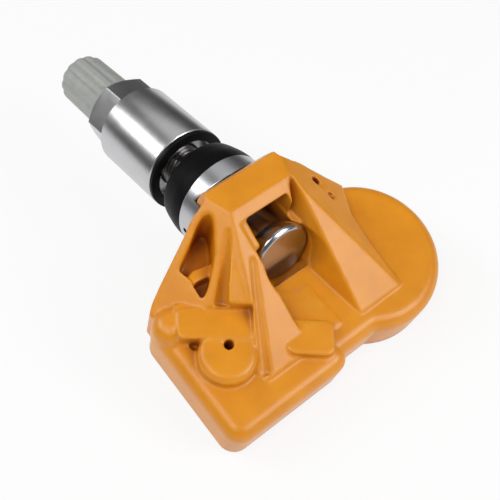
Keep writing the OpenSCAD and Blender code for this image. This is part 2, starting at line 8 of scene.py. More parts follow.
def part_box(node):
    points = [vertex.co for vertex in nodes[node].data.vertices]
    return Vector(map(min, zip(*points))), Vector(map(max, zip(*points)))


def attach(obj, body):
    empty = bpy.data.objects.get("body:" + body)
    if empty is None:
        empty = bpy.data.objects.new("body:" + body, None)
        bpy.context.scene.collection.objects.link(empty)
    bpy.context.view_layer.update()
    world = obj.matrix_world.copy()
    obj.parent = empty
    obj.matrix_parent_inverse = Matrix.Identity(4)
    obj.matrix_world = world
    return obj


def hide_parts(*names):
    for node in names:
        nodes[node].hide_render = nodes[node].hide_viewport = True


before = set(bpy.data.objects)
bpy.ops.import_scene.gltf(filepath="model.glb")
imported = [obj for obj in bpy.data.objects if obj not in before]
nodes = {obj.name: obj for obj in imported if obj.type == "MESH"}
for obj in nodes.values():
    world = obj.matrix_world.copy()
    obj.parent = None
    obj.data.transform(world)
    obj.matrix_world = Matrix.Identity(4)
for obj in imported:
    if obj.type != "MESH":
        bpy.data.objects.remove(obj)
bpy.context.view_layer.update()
mm = 0.001
print("frame loaded:", len(nodes), "nodes")

# The camera stands where the photo was taken from, in mm
cameraView = {
    "place": (-52.9, -84.8, 100.1),
    "up": (0.511, 0.574, 0.641),
    "forward": (0.380, 0.518, -0.766),
    "lens": 61.2,
}


def placeCamera(view):
    data = bpy.data.cameras.new("viewCamera")
    data.lens = view["lens"]
    data.sensor_width = 36
    data.clip_start = 0.005
    data.clip_end = 10
    camera = bpy.data.objects.new("viewCamera", data)
    bpy.context.scene.collection.objects.link(camera)
    back = -Vector(view["forward"]).normalized()
    right = Vector(view["up"]).cross(back).normalized()
    up = back.cross(right)
    turn = Matrix((right, up, back)).transposed()
    camera.matrix_world = Matrix.Translation(Vector(view["place"]) * mm) @ turn.to_4x4()
    bpy.context.scene.camera = camera


placeCamera(cameraView)
print("camera placed")

# The case is tilted on the ball head, so its own flat lies at an angle
caseTilt = {"angle": 19.0, "ballBack": 21.2, "ballRadius": 5.2}


def toCase(points):
    # turns part coordinates in mm into the case's own, round the ball's middle
    turn = math.radians(caseTilt["angle"])
    c, s = math.cos(turn), math.sin(turn)
    y = points[:, 1] + caseTilt["ballBack"]
    return np.stack([points[:, 0], y * c + points[:, 2] * s, -y * s + points[:, 2] * c], axis=1)


def newObject(name, mesh):
    obj = bpy.data.objects.new(name, mesh)
    bpy.context.scene.collection.objects.link(obj)
    return obj


def bakeModifiers(obj):
    # replaces the object's mesh by the one its modifiers give
    graph = bpy.context.evaluated_depsgraph_get()
    graph.update()
    mesh = bpy.data.meshes.new_from_object(obj.evaluated_get(graph))
    old = obj.data
    obj.modifiers.clear()
    obj.data = mesh
    bpy.data.meshes.remove(old)


def copyNode(node, name, flatAngle=None):
    # a joined copy of a node's mesh; with an angle, faces that lie in one plane become one
    mesh = nodes[node].data.copy()
    mesh.name = name
    work = bmesh.new()
    work.from_mesh(mesh)
    bmesh.ops.remove_doubles(work, verts=work.verts, dist=0.001 * mm)
    if flatAngle:
        bmesh.ops.dissolve_limit(work, angle_limit=math.radians(flatAngle), verts=work.verts, edges=work.edges)
    work.to_mesh(mesh)
    work.free()
    return newObject(name, mesh)


def smoothFaces(mesh):
    mesh.polygons.foreach_set("use_smooth", [True] * len(mesh.polygons))


def softShade(mesh, angle):
    smoothFaces(mesh)
    mesh.set_sharp_from_angle(angle=math.radians(angle))


def roundOff(outline, steps=4):
    # outline is a list of (radius, y, fillet); each corner with a fillet becomes a small arc
    count = len(outline)
    points = []
    for i, (r, y, fillet) in enumerate(outline):
        here = Vector((r, y))
        before = Vector(outline[i - 1][:2])
        after = Vector(outline[(i + 1) % count][:2])
        if not fillet:
            points.append((r, y))
            continue
        a = (before - here).normalized()
        b = (after - here).normalized()
        reach = min(fillet, (before - here).length * 0.49, (after - here).length * 0.49)
        for k in range(steps + 1):
            t = k / steps
            p = here + a * reach * (1 - t) ** 2 + b * reach * t ** 2
            points.append((p.x, p.y))
    return points


def latheRows(points, segments):
    ones = np.ones(segments)
    return [(r * ones, y * ones) for r, y in points]


def lathe(name, rows, segments, closed=False, shadeAngle=35):
    # rows are arrays of radius and y, one value for each segment round the valve axis
    turn = np.arange(segments) * 2 * math.pi / segments
    verts, ids = [], []
    for r, y in rows:
        if not closed and np.max(r) < 1e-6:
            ids.append([len(verts)] * segments)
            verts.append((0, float(y[0]) * mm, 0))
            continue
        ids.append(list(range(len(verts), len(verts) + segments)))
        verts += [(ri * c * mm, yi * mm, ri * s * mm)
                  for ri, yi, c, s in zip(r, y, np.cos(turn), np.sin(turn))]
    faces = []
    pairs = list(zip(ids[:-1], ids[1:])) + ([(ids[-1], ids[0])] if closed else [])
    for low, high in pairs:
        for k in range(segments):
            n = (k + 1) % segments
            corners = [low[k], low[n], high[n], high[k]]
            faces.append(list(dict.fromkeys(corners)))
    mesh = bpy.data.meshes.new(name)
    mesh.from_pydata(verts, [], faces)
    work = bmesh.new()
    work.from_mesh(mesh)
    bmesh.ops.recalc_face_normals(work, faces=work.faces)
    work.to_mesh(mesh)
    work.free()
    softShade(mesh, shadeAngle)
    return newObject(name, mesh)


def threadRows(low, high, crest, depth, pitch, segments, perTurn=8, fade=0.8):
    turn = np.arange(segments) / segments
    rows = []
    for y in np.arange(low, high, pitch / perTurn):
        phase = (y / pitch + turn) % 1
        cut = np.clip(np.abs(2 * phase - 1) * 1.25 - 0.1, 0, 1)     # slanted sides, with a small crest and root
        ease = min(1, (y - low) / fade, (high - y) / fade)
        rows.append((crest - depth * (1 - ease) - depth * cut * ease, np.full(segments, y)))
    return rows


# The moulded case: the frame's housing with soft moulded edges, in mm
# socket and back give where softening starts, the way it takes to reach its full share, and its least share
caseShape = {
    "voxel": 0.19, "softenSteps": 15, "cleanSteps": 2, "softening": 0.5, "triangles": 192000,
    "socket": {"start": 5.7, "fade": 0.6, "least": 0.12},
    "back": {"start": -9.4, "fade": 0.8, "least": 0.15},
}


def softShare(distance, zone):
    return np.clip((distance - zone["start"]) / zone["fade"], zone["least"], 1)


def makeCaseShell(shape):
    shell = copyNode("housing", "caseShell")
    remesh = shell.modifiers.new("remesh", "REMESH")
    remesh.mode = "VOXEL"
    remesh.voxel_size = shape["voxel"] * mm
    bakeModifiers(shell)
    # the socket and the ledge of the cover nearly keep their exact size
    count = len(shell.data.vertices)
    coords = np.empty(count * 3)
    shell.data.vertices.foreach_get("co", coords)
    local = toCase(coords.reshape(-1, 3) / mm)
    weight = softShare(np.linalg.norm(local, axis=1), shape["socket"])
    weight *= softShare(local[:, 2], shape["back"])
    group = shell.vertex_groups.new(name="moulded")
    for step in np.linspace(0.1, 1, 10):
        chosen = np.nonzero((weight > step - 0.1) & (weight <= step))[0]
        if len(chosen):
            group.add(chosen.tolist(), float(step), "REPLACE")
    passes = [("soften", shape["softenSteps"], group.name), ("clean", shape["cleanSteps"], "")]
    for label, steps, chosen in passes:
        smooth = shell.modifiers.new(label, "SMOOTH")
        smooth.factor = shape["softening"]
        smooth.iterations = steps
        smooth.vertex_group = chosen
    bakeModifiers(shell)
    total = sum(len(face.vertices) - 2 for face in shell.data.polygons)
    if total > shape["triangles"]:
        thin = shell.modifiers.new("thin", "DECIMATE")
        thin.ratio = shape["triangles"] / total
        bakeModifiers(shell)
    smoothFaces(shell.data)
    print("case shell:", total, "triangles before thinning,", len(shell.data.polygons), "faces kept")
    return shell


# The stem: a polished half ball on a shank with two flats, then two rolled threads, in mm
# disc lists the radius and height of the points of the ball's flat end, from its middle to its rim
stemShape = {
    "disc": [(0, 0), (1.2, 0), (2.4, 0), (3.6, 0), (4.5, 0), (4.68, 0.02), (4.78, 0.07), (5.08, 0.38),
             (5.15, 0.48)],
    "domeStart": 0.6, "domeSteps": 16, "shank": 3.7, "flats": 3.3, "shankSteps": 12, "root": -6.6,
    "body": 4.0, "bodyPitch": 0.75, "bodyDepth": 0.42, "neck": 0.45, "nutTop": 23.88,
    "tip": 33.98, "tipThread": 3.8, "tipPitch": 0.794, "tipDepth": 0.45,
    "bore": 1.2, "boreEnd": -15.0, "seat": 2.6, "seatY": 22.98, "segments": 72, "shadeAngle": 28,
}


def makeStem(s):
    back, ball, n = caseTilt["ballBack"], caseTilt["ballRadius"], s["segments"]
    outline = [(r, -back + lift) for r, lift in s["disc"]]
    start = math.acos(s["domeStart"] / ball)
    reach = math.asin(s["shank"] / ball)
    for k in range(s["domeSteps"] + 1):
        a = start - (start - reach) * k / s["domeSteps"]
        outline.append((ball * math.sin(a), -back + ball * math.cos(a)))
    joint = outline[-1][1]
    rows = latheRows(outline, n)
    turn = np.arange(n) * 2 * math.pi / n
    for y in np.linspace(joint + 0.12, s["root"], s["shankSteps"]):
        r = np.full(n, s["shank"])
        across = np.abs(r * np.cos(turn))
        r = np.where(across > s["flats"], s["flats"] / np.maximum(np.abs(np.cos(turn)), 1e-6), r)
        rows.append((r, np.full(n, y)))
    rows += latheRows([(s["body"] - s["bodyDepth"], s["root"] + 0.02)], n)
    rows += threadRows(s["root"] + 0.05, s["nutTop"] - 0.1, s["body"], s["bodyDepth"], s["bodyPitch"], n)
    tipRoot = s["tipThread"] - s["tipDepth"]
    rows += latheRows([(s["body"] - s["neck"], s["nutTop"]), (tipRoot, s["nutTop"] + 0.05)], n)
    rows += threadRows(s["nutTop"] + 0.1, s["tip"] - 0.5, s["tipThread"], s["tipDepth"], s["tipPitch"], n)
    rim = [(tipRoot, s["tip"] - 0.45), (s["tipThread"] - 0.7, s["tip"] - 0.1),
           (s["tipThread"] - 0.85, s["tip"])]
    inside = [(s["seat"] + 0.25, s["tip"]), (s["seat"], s["tip"] - 0.25), (s["seat"], s["seatY"]),
              (s["bore"] + 0.1, s["seatY"]), (s["bore"], s["seatY"] - 0.1), (s["bore"], s["boreEnd"]),
              (0, s["boreEnd"])]
    rows += latheRows(rim + inside, n)
    return lathe("stemMetal", rows, n, shadeAngle=s["shadeAngle"])


def tellThreads(stem, s):
    # the rolled threads are duller than the polished head, and their dark colour is painted shade for the gap
    # between washer and collar: their faces take the second finish
    for face in stem.data.polygons:
        face.material_index = 1 if face.center.y > s["root"] * mm else 0


# The nut: the frame's own, with its edges broken as a turned and milled nut has them
nutShape = {"flatAngle": 0.5, "edge": 0.13, "edgeSteps": 2, "edgeAngle": 18, "shadeAngle": 24}


def makeNut(s):
    nut = copyNode("nut", "nutMetal", s["flatAngle"])
    edge = nut.modifiers.new("edge", "BEVEL")
    edge.width = s["edge"] * mm
    edge.segments = s["edgeSteps"]
    edge.limit_method = "ANGLE"
    edge.angle_limit = math.radians(s["edgeAngle"])
    bakeModifiers(nut)
    softShade(nut.data, s["shadeAngle"])
    return nut


# The collar bears on the round back of the case, so its back face follows two rollers across the valve
collarShape = {
    "radius": 8.36, "front": -5.68, "seat": 14.6, "sideSeat": 12.0, "seatHalf": 6.35, "seatSteps": 14,
    "nose": 5.6, "noseTop": 1.2, "neck": 5.0, "bore": 4.02, "edge": 0.22,
    "hole": 0.55, "holeY": -7.28, "holeDepth": 2.0, "segments": 160, "shadeAngle": 30,
}


def makeCollar(s):
    n = s["segments"]
    turn = np.arange(n) * 2 * math.pi / n
    back = caseTilt["ballBack"]

    def seatRow(r, lift):
        r = np.full(n, r)
        form = np.where(np.abs(r * np.cos(turn)) < s["seatHalf"], s["seat"], s["sideSeat"])
        return r, np.sqrt(form ** 2 - (r * np.sin(turn)) ** 2) - back + lift

    edge = s["edge"]
    rows = [seatRow(r, 0.0) for r in np.linspace(s["bore"] + 0.2, s["radius"] - edge, s["seatSteps"])]
    rows += [seatRow(s["radius"] - 0.07, 0.06), seatRow(s["radius"], edge)]
    r, y = seatRow(s["radius"], edge)
    rows += [(r, y + (s["front"] - edge - y) * t) for t in (0.25, 0.5, 0.75)]
    # from the front edge over the neck and the nose back into the bore, as radius, y and fillet
    nose = [(s["radius"], s["front"] - edge, 0), (s["radius"], s["front"], edge), (s["neck"], s["front"], 0.05),
            (s["neck"], -0.03, 0.03), (s["nose"], 0, 0.06), (s["nose"], s["noseTop"], 0.22),
            (s["bore"], s["noseTop"], 0.12)]
    rows += latheRows(roundOff(nose), n)
    rows += latheRows([(s["bore"], 0.0), (s["bore"], s["front"])], n)
    collar = lathe("collarMetal", rows, n, closed=True, shadeAngle=s["shadeAngle"])
    cutter = bpy.data.meshes.new("holeCutter")
    work = bmesh.new()
    bmesh.ops.create_cone(work, cap_ends=True, segments=32, radius1=s["hole"] * mm, radius2=s["hole"] * mm,
                          depth=2 * s["holeDepth"] * mm)
    work.to_mesh(cutter)
    work.free()
    hole = newObject("holeCutter", cutter)
    hole.matrix_world = (Matrix.Translation(Vector((-s["radius"], s["holeY"], 0)) * mm)
                         @ Matrix.Rotation(math.radians(90), 4, "Y"))
    cut = collar.modifiers.new("hole", "BOOLEAN")
    cut.object = hole
    cut.operation = "DIFFERENCE"
    cut.solver = "EXACT"
    bakeModifiers(collar)
    bpy.data.objects.remove(hole)
    softShade(collar.data, s["shadeAngle"])
    return collar


# The rubber grommet and the thin hard washer are plain turned rings with soft edges
grommetShape = {
    "bore": 5.0, "flange": 8.36, "flangeTop": -3.9, "front": 7.65, "frontY": -1.1, "back": -5.68,
    "lip": 5.75, "lipY": -0.75, "segments": 120, "shadeAngle": 50,
}
washerShape = {"base": 3.1, "thick": 0.68, "radius": 7.46, "hole": 5.81, "segments": 120, "shadeAngle": 50}


def turnedRing(name, outline, steps, s):
    rows = latheRows(roundOff(outline, steps), s["segments"])
    return lathe(name, rows, s["segments"], closed=True, shadeAngle=s["shadeAngle"])


def makeGrommet(s):
    outline = [(s["bore"], s["back"], 0), (s["flange"], s["back"], 0.1), (s["flange"], s["flangeTop"], 1.2),
               (s["front"] + 0.1, s["frontY"], 0.9), (s["front"] - 0.3, 0, 0.7), (s["lip"], 0, 0.12),
               (s["bore"], s["lipY"], 0)]
    return turnedRing("grommetRubber", outline, 6, s)


def makeWasher(s):
    top = s["base"] + s["thick"]
    outline = [(s["hole"], s["base"], 0.08), (s["radius"], s["base"], 0.2), (s["radius"], top, 0.08),
               (s["hole"], top, 0.05)]
    return turnedRing("washerRing", outline, 5, s)


# The cap: a fluted plastic sleeve with a rounded closed end
capShape = {
    "base": 23.98, "length": 12.9, "low": 4.93, "skirt": 1.2, "high": 4.78, "crown": 1.6,
    "bore": 3.86, "boreDepth": 11.1, "flutes": 14, "fluteDepth": 0.24, "fluteEase": 0.7,
    "sideSteps": 34, "crownSteps": 10, "segments": 224, "shadeAngle": 40,
}


def makeCap(s):
    n = s["segments"]
    turn = np.arange(n) * 2 * math.pi / n
    wave = 0.5 + 0.5 * np.cos(turn * s["flutes"])
    groove = np.clip((wave - 0.25) / 0.75, 0, 1) ** 1.2     # round channels with flat lands between them
    top = s["base"] + s["length"]
    skirtTop = s["base"] + s["skirt"]
    shoulder = top - s["crown"]
    # one line of rows: from the axis along the bore, out over the rim, up the side and back to the axis
    boreTop = s["base"] + s["boreDepth"]
    rows = latheRows([(0, boreTop), (s["bore"], boreTop), (s["bore"], s["base"] + 0.25),
                      (s["bore"] + 0.25, s["base"]), (s["low"] - 0.12, s["base"]),
                      (s["low"], s["base"] + 0.12)], n)
    for y in np.linspace(s["base"] + 0.4, shoulder, s["sideSteps"]):
        t = max(0.0, (y - skirtTop) / (shoulder - skirtTop))
        r = s["low"] + (s["high"] - s["low"]) * t
        ease = min(1, max(0, (y - skirtTop) / s["fluteEase"]))
        rows.append((r - s["fluteDepth"] * groove * ease, np.full(n, y)))
    for k in range(1, s["crownSteps"]):
        a = math.pi / 2 * k / s["crownSteps"]
        r = s["high"] - s["crown"] + s["crown"] * math.cos(a) - s["fluteDepth"] * groove * math.cos(a) ** 1.5
        rows.append((r, np.full(n, shoulder + s["crown"] * math.sin(a))))
    # the end is a little hollow
    rows += latheRows([(s["high"] - s["crown"] - 0.3, top - 0.002), (s["high"] - 2.2, top - 0.02),
                       (0, top - 0.05)], n)
    return lathe("capPlastic", rows, n, shadeAngle=s["shadeAngle"])


caseShell = makeCaseShell(caseShape)
stemMetal = makeStem(stemShape)
nutMetal = makeNut(nutShape)
collarMetal = makeCollar(collarShape)
grommetRubber = makeGrommet(grommetShape)
washerRing = makeWasher(washerShape)
capPlastic = makeCap(capShape)

# each piece with its body, the node that it replaces and the slot of its finish
pieces = [
    (caseShell, "case", "housing", "case_plastic"),
    (stemMetal, "valve", "valve_stem", "turned_alloy"),
    (nutMetal, "nut", "nut", "turned_alloy"),
    (collarMetal, "valve", "collar", "turned_alloy"),
    (grommetRubber, "valve", "grommet", "hard_rubber"),
    (washerRing, "rim_washer", "washer", "washer_plastic"),
    (capPlastic, "cap", "cap", "cap_plastic"),
]
for piece, body, node, slot in pieces:
    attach(piece, body)
    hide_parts(node)
print("pieces built:", len(pieces))

# Node groups for the effects that several finishes share


class NodeBuilder:
    def __init__(self, tree):
        self.tree = tree

    def node(self, kind, settings=None, **inputs):
        made = self.tree.nodes.new(kind)
        for key, value in (settings or {}).items():
            setattr(made, key, value)
        for key, value in inputs.items():
            # i0, i1 and so on count the sockets, any other key names one
            counted = key[0] == "i" and key[1:].isdigit()
            self.feed(made.inputs[int(key[1:]) if counted else key], value)
        return made

    def feed(self, socket, value):
        if isinstance(value, bpy.types.NodeSocket):
            self.tree.links.new(value, socket)
        elif value is not None:
            socket.default_value = value

    def math(self, operation, first, second=None, third=None, clamp=False):
        made = self.node("ShaderNodeMath", {"operation": operation, "use_clamp": clamp},
                         i0=first, i1=second, i2=third)
        return made.outputs[0]

    def ramp(self, value, low, high, outLow=0.0, outHigh=1.0):
        made = self.node("ShaderNodeMapRange", {"clamp": True},
                         i0=value, i1=low, i2=high, i3=outLow, i4=outHigh)
        return made.outputs[0]

    def mixColour(self, factor, first, second):
        made = self.node("ShaderNodeMix", {"data_type": "RGBA"}, i0=factor, i6=first, i7=second)
        return made.outputs[2]

    def noise(self, coordinates, scale, detail=2.0, rough=0.5):
        made = self.node("ShaderNodeTexNoise", None,
                         Vector=coordinates, Scale=scale, Detail=detail, Roughness=rough)
        return made.outputs[0]

    def millimetres(self):
        place = self.node("ShaderNodeTexCoord").outputs["Object"]
        return self.node("ShaderNodeVectorMath", {"operation": "SCALE"}, i0=place, Scale=1000.0).outputs[0]


def newGroup(name, inputs, outputs):
    tree = bpy.data.node_groups.new(name, "ShaderNodeTree")
    for label, value in inputs:
        socket = tree.interface.new_socket(label, in_out="INPUT", socket_type="NodeSocketFloat")
        socket.default_value = value
    for label in outputs:
        tree.interface.new_socket(label, in_out="OUTPUT", socket_type="NodeSocketFloat")
    build = NodeBuilder(tree)
    return tree, build, build.node("NodeGroupInput").outputs, build.node("NodeGroupOutput").inputs


def makeGrainGroup():
    # fine sparked-mould grain with a slow tone change; sizes are in mm
    tree, b, given, out = newGroup("mouldGrain", [("Grain Size", 0.12), ("Patch Size", 6.0)],
                                   ["Height", "Tone", "Patch"])
    place = b.millimetres()
    fine = b.noise(place, b.math("DIVIDE", 1.0, given["Grain Size"]), 3.0, 0.6)
    coarse = b.noise(place, b.math("DIVIDE", 0.35, given["Grain Size"]), 2.0, 0.5)
    patch = b.noise(place, b.math("DIVIDE", 1.0, given["Patch Size"]), 3.0, 0.55)
    height = b.math("ADD", b.math("MULTIPLY", fine, 0.6), b.math("MULTIPLY", coarse, 0.4))
    b.feed(out["Height"], height)
    b.feed(out["Tone"], b.ramp(height, 0.35, 0.65))
    b.feed(out["Patch"], b.ramp(patch, 0.3, 0.7))
    return tree


def makeEdgeGroup():
    # convex edges and corners, broken up by noise, where handling rubs the surface; a second output is the mask
    # of painted shade in hollows
    inputs = [("Start", 0.52), ("Full", 0.6), ("Break Up", 1.2), ("Reach", 3.0)]
    tree, b, given, out = newGroup("edgeRub", inputs, ["Mask", "Hollow"])
    point = b.node("ShaderNodeNewGeometry").outputs["Pointiness"]
    edge = b.ramp(point, given["Start"], given["Full"])
    spots = b.ramp(b.noise(b.millimetres(), given["Break Up"], 4.0, 0.6), 0.35, 0.65, 0.35, 1.0)
    b.feed(out["Mask"], b.math("MULTIPLY", edge, spots))
    # painted shade: the mask covers the concave lines and all that lies deep between walls, as far as the reach
    # in mm, where shade falls
    shut = b.node("ShaderNodeAmbientOcclusion", {"samples": 8}, Distance=b.math("MULTIPLY", given["Reach"], mm))
    deep = b.ramp(shut.outputs["AO"], 0.8, 0.25)
    b.feed(out["Hollow"], b.math("MAXIMUM", b.ramp(point, 0.49, 0.42), deep))
    return tree


def makeDustGroup():
    # thin dust that settles on faces that look up
    tree, b, given, out = newGroup("restingDust", [("Cover", 0.5), ("Spot Size", 0.8)], ["Mask"])
    normal = b.node("ShaderNodeNewGeometry").outputs["Normal"]
    up = b.ramp(b.node("ShaderNodeSeparateXYZ", None, i0=normal).outputs[2], 0.2, 0.95)
    spots = b.noise(b.millimetres(), b.math("DIVIDE", 1.0, given["Spot Size"]), 5.0, 0.7)
    lying = b.math("MULTIPLY", up, b.ramp(spots, 0.5, 0.75))
    b.feed(out["Mask"], b.math("MULTIPLY", lying, given["Cover"]))
    return tree


def makeTurnGroup():
    # lathe marks: fine lines along the valve axis, or rings on a face that looks along it
    tree, b, given, out = newGroup("turnedMarks", [("Line Pitch", 0.06), ("Face", 0.0), ("Streak", 0.3)],
                                   ["Height", "Tone"])
    parts = b.node("ShaderNodeSeparateXYZ", None, i0=b.millimetres()).outputs
    radius = b.math("SQRT", b.math("ADD", b.math("POWER", parts[0], 2.0), b.math("POWER", parts[2], 2.0)))
    along = b.math("ADD", b.math("MULTIPLY", parts[1], b.math("SUBTRACT", 1.0, given["Face"])),
                   b.math("MULTIPLY", radius, given["Face"]))
    lines = b.node("ShaderNodeTexNoise", {"noise_dimensions": "1D"},
                   W=b.math("DIVIDE", along, given["Line Pitch"]),
                   Scale=1.0, Detail=3.0, Roughness=0.6).outputs[0]
    slow = b.noise(b.millimetres(), given["Streak"], 3.0, 0.6)
    b.feed(out["Height"], lines)
    b.feed(out["Tone"], b.math("ADD", b.math("MULTIPLY", b.ramp(lines, 0.3, 0.7), 0.6),
                               b.math("MULTIPLY", b.ramp(slow, 0.3, 0.7), 0.4)))
    return tree


groups = {"grain": makeGrainGroup(), "edge": makeEdgeGroup(), "dust": makeDustGroup(), "turn": makeTurnGroup()}
print("node groups built:", len(groups))


def newFinish(name):
    material = bpy.data.materials.new(name)
    material.use_nodes = True
    tree = material.node_tree
    return material, NodeBuilder(tree), tree.nodes["Principled BSDF"]


def placeGroup(build, label, **values):
    made = build.node("ShaderNodeGroup", {"node_tree": groups[label]})
    for key, value in values.items():
        made.inputs[key.replace("_", " ")].default_value = value
    return made.outputs


def bump(build, height, strength, distance):
    made = build.node("ShaderNodeBump", None, Strength=strength, Distance=distance * mm, Height=height)
    return made.outputs[0]


def colour(rgb):
    return (*rgb, 1.0)


dustColour = (0.55, 0.53, 0.5)


def mouldedFinish(name, look):
    # one recipe for every moulded or rubber surface
    material, b, shader = newFinish(name)
    grain = placeGroup(b, "grain", Grain_Size=look["grain"], Patch_Size=look["patch"])
    edge = placeGroup(b, "edge", Start=0.51, Full=0.58, Break_Up=1.2)
    dust = placeGroup(b, "dust", Cover=look["dust"], Spot_Size=0.5)
    base = b.mixColour(grain["Patch"], colour(look["low"]), colour(look["high"]))
    base = b.mixColour(b.math("MULTIPLY", grain["Tone"], 0.18), base, colour(look["fleck"]))
    # painted shade: hollows and recesses are darkened towards the deep colour where shade falls
    base = b.mixColour(b.math("MULTIPLY", edge["Hollow"], look["paintedShadeShare"]), base, colour(look["deep"]))
    base = b.mixColour(b.math("MULTIPLY", edge["Mask"], look["rub"]), base, colour(look["worn"]))
    base = b.mixColour(dust["Mask"], base, colour(dustColour))
    rough = b.ramp(grain["Tone"], 0.0, 1.0, look["rough"] - 0.05, look["rough"] + 0.06)
    rough = b.math("SUBTRACT", rough, b.math("MULTIPLY", edge["Mask"], 0.08))
    b.feed(shader.inputs["Base Color"], base)
    b.feed(shader.inputs["Roughness"], b.math("ADD", rough, b.math("MULTIPLY", dust["Mask"], 0.3)))
    b.feed(shader.inputs["Normal"], bump(b, grain["Height"], look["bump"], look["grain"]))
    shader.inputs["Specular IOR Level"].default_value = look["gloss"]
    return material


def turnedFinish(name, look):
    # one recipe for every turned, rolled or brushed metal
    material, b, shader = newFinish(name)
    marks = placeGroup(b, "turn", Line_Pitch=look["pitch"], Face=look["face"], Streak=0.3)
    edge = placeGroup(b, "edge", Start=0.51, Full=0.6, Break_Up=1.5)
    base = b.mixColour(marks["Tone"], colour(look["low"]), colour(look["high"]))
    base = b.mixColour(b.math("MULTIPLY", edge["Mask"], 0.5), base, colour(look["worn"]))
    # painted shade: hollows and recesses of the metal are darkened towards the deep colour where shade falls
    base = b.mixColour(b.math("MULTIPLY", edge["Hollow"], look["paintedShadeShare"]), base, colour(look["deep"]))
    rough = b.ramp(marks["Tone"], 0.0, 1.0, look["rough"] - 0.03, look["rough"] + 0.05)
    b.feed(shader.inputs["Base Color"], base)
    b.feed(shader.inputs["Roughness"], rough)
    b.feed(shader.inputs["Normal"], bump(b, marks["Height"], look["bump"], look["pitch"] * 0.35))
    shader.inputs["Metallic"].default_value = 1.0
    return material


# Colours are linear; grain, patch, pitch and bump go by mm, the others are shares. The deep colour and the
# hollow share paint shade into hollows and recesses.
mouldedLooks = {
    "caseAmber": {
        "low": (0.72, 0.25, 0.004), "high": (0.81, 0.3, 0.008), "fleck": (0.88, 0.37, 0.02),
        "deep": (0.3, 0.06, 0.002), "worn": (0.9, 0.46, 0.09),
        "grain": 0.11, "patch": 5.0, "rough": 0.33, "bump": 0.3,
        "paintedShadeShare": 0.85, "rub": 0.3, "dust": 0.02, "gloss": 0.55,
    },
    "coverAmber": {
        "low": (0.67, 0.235, 0.004), "high": (0.76, 0.28, 0.008), "fleck": (0.8, 0.37, 0.025),
        "deep": (0.3, 0.07, 0.003), "worn": (0.85, 0.43, 0.08),
        "grain": 0.16, "patch": 7.0, "rough": 0.46, "bump": 0.5,
        "paintedShadeShare": 0.3, "rub": 0.3, "dust": 0.1, "gloss": 0.5,
    },
    "grommetBlack": {
        "low": (0.003, 0.003, 0.0035), "high": (0.006, 0.006, 0.0065), "fleck": (0.014, 0.014, 0.015),
        "deep": (0.002, 0.002, 0.002), "worn": (0.03, 0.03, 0.03),
        "grain": 0.09, "patch": 3.0, "rough": 0.4, "bump": 0.5,
        "paintedShadeShare": 0.3, "rub": 0.1, "dust": 0.0, "gloss": 0.06,
    },
    "washerBlack": {
        "low": (0.004, 0.004, 0.0045), "high": (0.008, 0.008, 0.0085), "fleck": (0.016, 0.016, 0.016),
        "deep": (0.003, 0.003, 0.003), "worn": (0.04, 0.04, 0.04),
        "grain": 0.06, "patch": 2.0, "rough": 0.36, "bump": 0.25,
        "paintedShadeShare": 0.3, "rub": 0.2, "dust": 0.0, "gloss": 0.1,
    },
    "capGrey": {
        "low": (0.33, 0.34, 0.315), "high": (0.4, 0.41, 0.385), "fleck": (0.46, 0.47, 0.445),
        "deep": (0.16, 0.17, 0.16), "worn": (0.52, 0.53, 0.5),
        "grain": 0.08, "patch": 1.6, "rough": 0.42, "bump": 0.3,
        "paintedShadeShare": 0.5, "rub": 0.5, "dust": 0.04, "gloss": 0.5,
    },
    "sealRubber": {
        "low": (0.015, 0.015, 0.015), "high": (0.022, 0.022, 0.022), "fleck": (0.04, 0.04, 0.04),
        "deep": (0.006, 0.006, 0.006), "worn": (0.06, 0.06, 0.06),
        "grain": 0.07, "patch": 1.5, "rough": 0.6, "bump": 0.4,
        "paintedShadeShare": 0.3, "rub": 0.3, "dust": 0.05, "gloss": 0.4,
    },
    "boardGreen": {
        "low": (0.012, 0.09, 0.035), "high": (0.02, 0.14, 0.055), "fleck": (0.05, 0.2, 0.09),
        "deep": (0.006, 0.05, 0.02), "worn": (0.35, 0.3, 0.12),
        "grain": 0.5, "patch": 3.0, "rough": 0.3, "bump": 0.2,
        "paintedShadeShare": 0.2, "rub": 0.4, "dust": 0.0, "gloss": 0.55,
    },
    "chipBlack": {
        "low": (0.02, 0.02, 0.022), "high": (0.03, 0.03, 0.032), "fleck": (0.06, 0.06, 0.06),
        "deep": (0.01, 0.01, 0.01), "worn": (0.1, 0.1, 0.1),
        "grain": 0.05, "patch": 1.0, "rough": 0.5, "bump": 0.3,
        "paintedShadeShare": 0.2, "rub": 0.3, "dust": 0.0, "gloss": 0.5,
    },
    "filterWhite": {
        "low": (0.78, 0.77, 0.73), "high": (0.86, 0.85, 0.82), "fleck": (0.92, 0.92, 0.9),
        "deep": (0.5, 0.49, 0.45), "worn": (0.9, 0.9, 0.88),
        "grain": 0.05, "patch": 0.6, "rough": 0.8, "bump": 0.6,
        "paintedShadeShare": 0.3, "rub": 0.2, "dust": 0.0, "gloss": 0.3,
    },
    "capacitorTan": {
        "low": (0.38, 0.26, 0.15), "high": (0.46, 0.33, 0.2), "fleck": (0.55, 0.42, 0.28),
        "deep": (0.2, 0.13, 0.07), "worn": (0.6, 0.56, 0.5),
        "grain": 0.06, "patch": 0.5, "rough": 0.45, "bump": 0.2,
        "paintedShadeShare": 0.2, "rub": 0.5, "dust": 0.0, "gloss": 0.5,
    },
}
